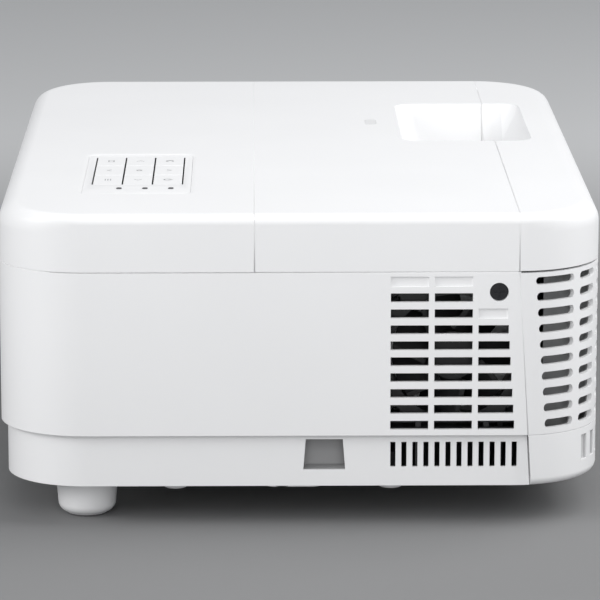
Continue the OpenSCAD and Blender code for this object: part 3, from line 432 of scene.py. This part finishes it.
# %% One white paint for each kind of shell
key_nodes = [f"key_{i}" for i in range(1, 10)]
# Each shell has its own copy of the white, so that each can carry its own painted shade.
shell_paints = {
    "case_plastic": ["mid_case"],
    "base_plastic": ["bottom_case"],
    "bezel_plastic": ["front_bezel"],
    "skirt_plastic": ["front_skirt"],
    "cover_plastic": ["top_cover_rear", "top_cover_front", "front_cap"],
    "key_plastic": ["keypad_plate", *key_nodes],
}
finish_of = {}
for finish, nodes in shell_paints.items():
    finishes[finish] = grained(finish, white, white_roughness)
    finish_of.update({node: finish for node in nodes})
print("shell paints for", len(finish_of), "nodes")

# %% Painted shade inside the case, the base and the corner grille
# Painted shade: dark inside the case and inside the base past the lock, grey inside the base at the lock
# recess and behind the near corner grille.
dark = (0.045, 0.045, 0.047)
shaded_recess = (0.36, 0.36, 0.364)
grille_painted_shade = (0.22, 0.22, 0.224)
case_skin = 2.0 * mm
base_skin = 3.6 * mm
bezel_skin = 1.9 * mm
lock_end = 25 * mm
near_grille = -30 * mm

case = finishes["case_plastic"]
paint_over(case, [deep(case, case_skin), side(case, "Z", "GREATER_THAN", floor_height)], dark)
base = finishes["base_plastic"]
behind_base = [deep(base, base_skin), side(base, "Z", "GREATER_THAN", floor_height + 1 * mm)]
paint_over(base, behind_base, shaded_recess)
paint_over(base, behind_base + [side(base, "X", "GREATER_THAN", lock_end)], dark)
bezel = finishes["bezel_plastic"]
paint_over(bezel, [deep(bezel, bezel_skin), side(bezel, "Y", "LESS_THAN", near_grille)], grille_painted_shade)
print("dark behind", round(case_skin / mm, 1), "mm of case")

# %% Painted shade in the skirt's blind slots, the lens recess and the slits between the keys
blind_slot_painted_shade = (0.6, 0.6, 0.604)
recess_painted_shade = (0.765, 0.765, 0.77)
blind_slot_skin = 0.5 * mm
skirt_rounding = 3.2 * mm
recess_inset = 10 * mm
recess_rim = top_height - 1.5 * mm
recess_front = cap_seam_x + 8 * mm
slit_drop = 0.5 * mm

# Painted shade: grey in the skirt's blind slots.
skirt = finishes["skirt_plastic"]
above_rounding = side(skirt, "Z", "GREATER_THAN", floor_height + skirt_rounding)
paint_over(skirt, [deep(skirt, blind_slot_skin), above_rounding], blind_slot_painted_shade)
# Painted shade: a darker white inside the lens recess.
cover = finishes["cover_plastic"]
in_recess = [side(cover, "Z", "LESS_THAN", recess_rim), side(cover, "X", "LESS_THAN", recess_front)]
paint_over(cover, [deep(cover, recess_inset), *in_recess], recess_painted_shade)
# Painted shade: dark in the slits between the keys.
key_paint = finishes["key_plastic"]
paint_over(key_paint, [side(key_paint, "Z", "LESS_THAN", key_top - slit_drop)], dark)
print("slits are dark below", round((key_top - slit_drop) / mm, 1), "mm")

# %% Give each node its finish
slot_of = {s["node"]: s["material_slot"] for s in frame["record"]["subparts"]}
for node, piece in frame["nodes"].items():
    piece.data.materials.clear()
    piece.data.materials.append(finishes[finish_of.get(node, slot_of[node])])
print("finished", len(slot_of), "nodes")

# %% [markdown]
# ## Soft edges on the moulded shells
# A CAD edge is as sharp as a knife. A moulded one has a radius of a few tenths of a millimetre, and the
# thin bright line that it catches is much of what makes plastic look like plastic. Each shell's mesh is
# copied, its doubled points are merged, flat regions become single faces again, and the edges that turn by
# more than a set angle are bevelled. The copy then stands for the node.

# %% The rounding of edges
merge_distance = 0.002 * mm
flat_limit = radians(0.4)
soft_limit = radians(28)
flat_weight = 80


def body_of(node):
    """The name of the body that a node belongs to."""
    return next(b for b, nodes in frame["record"]["behaviour"]["bodies"].items() if node in nodes)


def whole_copy(node):
    """A bmesh of a node's mesh, merged, with its flat regions as single faces."""
    shape = bmesh.new()
    shape.from_mesh(frame["nodes"][node].data)
    bmesh.ops.remove_doubles(shape, verts=shape.verts, dist=merge_distance)
    bmesh.ops.dissolve_limit(shape, angle_limit=flat_limit, verts=shape.verts, edges=shape.edges)
    return shape


def soft_edges(shape, radius):
    """Rounds every edge that turns by more than the limit."""
    sharp = [e for e in shape.edges if e.is_manifold and e.calc_face_angle(0) > soft_limit]
    bmesh.ops.bevel(shape, geom=sharp, offset=radius, offset_type="OFFSET", segments=2,
                    profile=0.5, affect="EDGES", clamp_overlap=True, material=-1)


def place(shape, name, finish, body, smooth=True, slot=None):
    """Makes the piece, gives it its finish and lets it ride on its body. The slot is not used."""
    mesh = bpy.data.meshes.new(name)
    shape.to_mesh(mesh)
    shape.free()
    if smooth:
        mesh.polygons.foreach_set("use_smooth", [True] * len(mesh.polygons))
    mesh.materials.append(finishes[finish])
    piece = bpy.data.objects.new(name, mesh)
    scene.collection.objects.link(piece)
    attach(piece, body)
    slot or finish
    return piece


def level_normals(piece):
    """Large flat faces keep their direction, so that only the rounded edges are shaded round."""
    weighted = piece.modifiers.new("level_normals", "WEIGHTED_NORMAL")
    weighted.weight = flat_weight
    weighted.keep_sharp = True


def soften(node, radius, change=None):
    """Replaces a node by its copy with soft edges, after an optional change to its form."""
    shape = whole_copy(node)
    if change:
        change(shape)
    if radius:
        soft_edges(shape, radius)
    piece = place(shape, node + "_moulded", finish_of.get(node, slot_of[node]), body_of(node),
                  slot=slot_of[node])
    level_normals(piece)
    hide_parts(node)
    return piece


print("edges over", round(degrees(soft_limit)), "degrees are softened")

# %% [markdown]
# Three forms are a trace fuller in the photo than in the CAD: the louvres are 3.3 mm high, the feet have a
# radius of 11.5 mm, and the outer slits beside the keys are as wide as the inner ones. The copies are
# corrected on the way. Each row of slots is stretched about its own middle line. The knob of a foot is
# widened about its axis, while the stud in the nut stays as it is. The tray's outer walls move out.

# %% Taller louvres
first_row = 3.5 * mm
row_pitch = 5.96 * mm
row_count = 10
cad_slot = 2.9 * mm
true_slot = 3.3 * mm
screw_room = 5 * mm
lens_room = 33 * mm
front_wall_room = 10 * mm
slack = 0.01 * mm


def taller_slots(shape):
    """Stretches every row of slots about its middle line, but not the screw recess or the lens opening."""
    screw, lens = middle_of("cover_screws"), middle_of("front_lens")
    for v in shape.verts:
        row = round((seam_height - first_row - v.co.z) / row_pitch)
        middle = seam_height - first_row - row * row_pitch
        near_screw = abs(v.co.x - screw.x) < screw_room and abs(v.co.z - screw.z) < screw_room
        near_lens = v.co.x > half_depth - front_wall_room and abs(v.co.y - lens.y) < lens_room
        in_slot = abs(v.co.z - middle) < cad_slot / 2 + slack
        if 0 < row < row_count and in_slot and not near_screw and not near_lens:
            v.co.z = middle + (v.co.z - middle) * true_slot / cad_slot


print("slots stretched by", round(true_slot / cad_slot, 3))

# %% Wider knobs and slits
knob_core = 6 * mm
knob_growth = 11.5 / 10.9
key_pitch = middle_of("key_2").x - middle_of("key_1").x
slit_growth = 0.3 * mm
slit_slack = 0.05 * mm


def wider_knob(shape):
    """Widens the knob of a foot about its axis."""
    middle = sum((v.co for v in shape.verts), Vector()) / len(shape.verts)
    for v in shape.verts:
        out = Vector((v.co.x - middle.x, v.co.y - middle.y))
        if out.length > knob_core:
            v.co.x = middle.x + out.x * knob_growth
            v.co.y = middle.y + out.y * knob_growth


def wider_slits(shape):
    """Moves the two outer walls of the key tray out, so that all four slits look alike."""
    pad_middle = middle_of("key_5").x
    for v in shape.verts:
        across = v.co.x - pad_middle
        if abs(abs(across) - 1.5 * key_pitch) < slit_slack:
            v.co.x += slit_growth if across > 0 else -slit_growth


print("knobs widened by", round(knob_growth, 3))

# %% Soften the shells
shell_edges = {
    "bottom_case": 0.4 * mm,
    "mid_case": 0.3 * mm,
    "top_cover_rear": 0.2 * mm,
    "top_cover_front": 0.2 * mm,
    "front_cap": 0.2 * mm,
    "front_bezel": 0.3 * mm,
    "front_skirt": 0.3 * mm,
    "keypad_plate": 0,
}
changes = {"mid_case": taller_slots, "front_bezel": taller_slots, "keypad_plate": wider_slits}
for node, radius in shell_edges.items():
    shell = soften(node, radius, change=changes.get(node))
    print(shell.name, len(shell.data.polygons), "faces")

# %% Soften the keys and the feet
foot_nodes = ["rear_foot_near", "rear_foot_far", "front_foot"]
key_edge = 0.25 * mm
foot_edge = 0.3 * mm
for node in key_nodes:
    soften(node, key_edge)
for node in foot_nodes:
    soften(node, foot_edge, change=wider_knob)
print("softened", len(key_nodes), "keys and", len(foot_nodes), "feet")

# %% [markdown]
# ## Seams that nearly close
# The real covers meet almost face to face, and their seams are faint lines. The gaps in the CAD are wider.
# So each gap gets a liner: a slice of the shell's own end, moved over the gap and shrunk a trace, so that
# it lies just under the skin. How far it is shrunk sets how dark the seam looks.

# %% A liner for a seam
slice_width = 1.2 * mm
cover_height = top_height - seam_height


def cut_back(shape, point, outward):
    """Keeps only what lies on the outward side of a plane, and closes the cut."""
    everything = shape.verts[:] + shape.edges[:] + shape.faces[:]
    found = bmesh.ops.bisect_plane(shape, geom=everything, dist=1e-7, plane_co=point, plane_no=-outward,
                                   clear_outer=True)
    edges = [e for e in found["geom_cut"] if isinstance(e, bmesh.types.BMEdge)]
    bmesh.ops.triangle_fill(shape, use_beauty=True, use_dissolve=True, edges=edges, normal=outward)


def liner(name, node, seam, outward, side_depth, top_depth=0):
    """Lays a slice of a shell's end over the seam in front of it, a trace under the skin."""
    outward = Vector(outward).normalized()
    end = Vector(seam) - outward * seam_gap / 2
    shape = whole_copy(node)
    cut_back(shape, end - outward * slice_width, outward)
    along_x = abs(outward.x) > 0.5
    for v in shape.verts:
        if not along_x:
            v.co.x *= 1 - side_depth / half_depth
        v.co.y *= 1 - side_depth / half_width
        if along_x and v.co.z > seam_height:
            v.co.z = seam_height + (v.co.z - seam_height) * (1 - top_depth / cover_height)
        v.co += outward * (seam_gap + slice_width) / 2
    piece = place(shape, name, "white_plastic", body_of(node))
    print(name, len(piece.data.polygons), "faces")


print("slices are", round(slice_width / mm, 1), "mm wide")


# %% Fill the seams
forwards = (1, 0, 0)
upwards = (0, 0, 1)
bezel_lean = 5.2 * mm
leaning = (seam_height - floor_height, 0, bezel_lean)
cover_seam = (cover_seam_x, 0, 0)
cap_seam = (cap_seam_x, 0, 0)
side_seam = (0, 0, seam_height)
bezel_seam = (cap_seam_x, 0, seam_height)
skirt_seam = (0, 0, step_height - seam_gap / 2)

liner("cover_seam_liner", "top_cover_rear", cover_seam, forwards, 0.02 * mm, 0.05 * mm)
liner("cap_seam_liner", "top_cover_front", cap_seam, forwards, 0.06 * mm, 0.04 * mm)
liner("side_seam_liner", "mid_case", side_seam, upwards, 0.25 * mm)
liner("bezel_seam_liner", "mid_case", bezel_seam, leaning, 0.3 * mm)
liner("base_seam_liner", "bottom_case", bezel_seam, leaning, 0.1 * mm)
liner("skirt_seam_liner", "front_skirt", skirt_seam, upwards, 0.3 * mm)

# %% [markdown]
# Through the second column of slots round the near corner, the photo shows plain grey. In the CAD there is
# a channel behind the grille, and the eye runs along it to the lit front slots. So a grey fin closes the
# channel at both corners, behind the bar where the front slots begin.

# %% Fins behind the grille
fin_size = Vector((6.5, 1, 58)) * mm
fin_inset = 5.85 * mm
fin_past_corner = 2.1 * mm
fin_x = half_depth - fin_inset
fin_y = half_width - corner_radius - fin_past_corner
fin_z = (step_height + seam_height) / 2


def box(shape, middle, size, turn=Matrix.Identity(4)):
    """Adds a box, turned about its middle."""
    matrix = Matrix.Translation(middle) @ turn @ Matrix.Diagonal((*size, 1))
    bmesh.ops.create_cube(shape, size=1, matrix=matrix)


fins = bmesh.new()
for way in (-1, 1):
    box(fins, Vector((fin_x, way * fin_y, fin_z)), fin_size)
place(fins, "grille_fins", "baffle_plastic", body_of("front_baffle"), smooth=False)
print("fins are", round(fin_size.z / mm), "mm high")

# %% [markdown]
# ## Marks on the keys
# Each key carries a small grey sign, faint in the photo. They are plain signs of use: arrows, a ring, bars.
# A sign is a list of strokes, each from one point to another, in millimetres to the right and up. The
# user stands behind the projector and looks forwards, so up on the keys is +X and right is -Y.

# %% The strokes of the signs


def ring(radius, start=0, turn=360, steps=10):
    """Strokes along an arc, in degrees from the right."""
    angles = [radians(start + turn * i / steps) for i in range(steps + 1)]
    points = [(radius * cos(a), radius * sin(a)) for a in angles]
    return list(zip(points, points[1:]))


def arrow(direction):
    """Two strokes that point along a direction, in degrees from the right."""
    turn = Matrix.Rotation(radians(direction), 2)
    tip = turn @ Vector((0.9, 0))
    return [(tip, turn @ Vector((-0.6, half_spread))) for half_spread in (1.3, -1.3)]


bars = [((-1.5, v), (1.5, v)) for v in (-1, 0, 1)]
square = [((-1.4, -1), (1.4, -1)), ((1.4, -1), (1.4, 1)), ((1.4, 1), (-1.4, 1)), ((-1.4, 1), (-1.4, -1))]
power = ring(1.4, 120, 300) + [((0, 0.4), (0, 1.8))]
go_back = ring(1.3, 60, 270) + arrow(180)
signs = [bars, arrow(0), power, arrow(270), ring(0.9), arrow(90), square, arrow(180), go_back]
print("strokes in each sign:", [len(strokes) for strokes in signs])

# %% Print the signs on the keys
stroke_width = 0.45 * mm
stroke_height = 0.03 * mm
finishes["mark_ink"] = grained("mark_ink", (0.42, 0.425, 0.43), 0.5, bump=0.02)


def on_key(centre, point):
    """The place of a sign's point on a key's top."""
    right, up = point
    return Vector((centre.x + up * mm, centre.y - right * mm, key_top))


for node, strokes in zip(key_nodes, signs):
    centre = middle_of(node)
    ink = bmesh.new()
    for first, last in strokes:
        start, stop = on_key(centre, first), on_key(centre, last)
        run = stop - start
        turn = Matrix.Rotation(run.xy.angle_signed(Vector((1, 0))), 4, "Z")
        box(ink, (start + stop) / 2, (run.length + stroke_width, stroke_width, stroke_height), turn)
    place(ink, node + "_mark", "mark_ink", body_of(node), smooth=False, slot=slot_of[node])
print("marked", len(key_nodes), "keys")

# %% [markdown]
# ## The low land beside the lock
# Under the floor, just behind the lock recess, the photo shows a low flat land. It is a rounded block.

# %% The land
land_size = Vector((21.5, 18.0, 2.2)) * mm
land_inset = 17 * mm
land_drop = 0.9 * mm
land_middle = Vector((-2.25 * mm, land_inset - half_width, floor_height - land_drop))
land_corner = 4 * mm
land_rim = 0.6 * mm

block = bmesh.new()
box(block, land_middle, land_size)
uprights = [e for e in block.edges if abs(e.verts[0].co.z - e.verts[1].co.z) > land_size.z / 2]
bmesh.ops.bevel(block, geom=uprights, offset=land_corner, segments=6, profile=0.5, affect="EDGES",
                material=-1)
rim = [e for e in block.edges if all(v.co.z < land_middle.z - land_size.z / 4 for v in e.verts)]
bmesh.ops.bevel(block, geom=rim, offset=land_rim, segments=3, profile=0.5, affect="EDGES", material=-1)
level_normals(place(block, "low_land", "white_plastic", body_of("bottom_case")))
print("land is", [round(length / mm, 1) for length in land_size], "mm")

# %% [markdown]
# ## The last step

# %% The end
print("the scene is dressed")
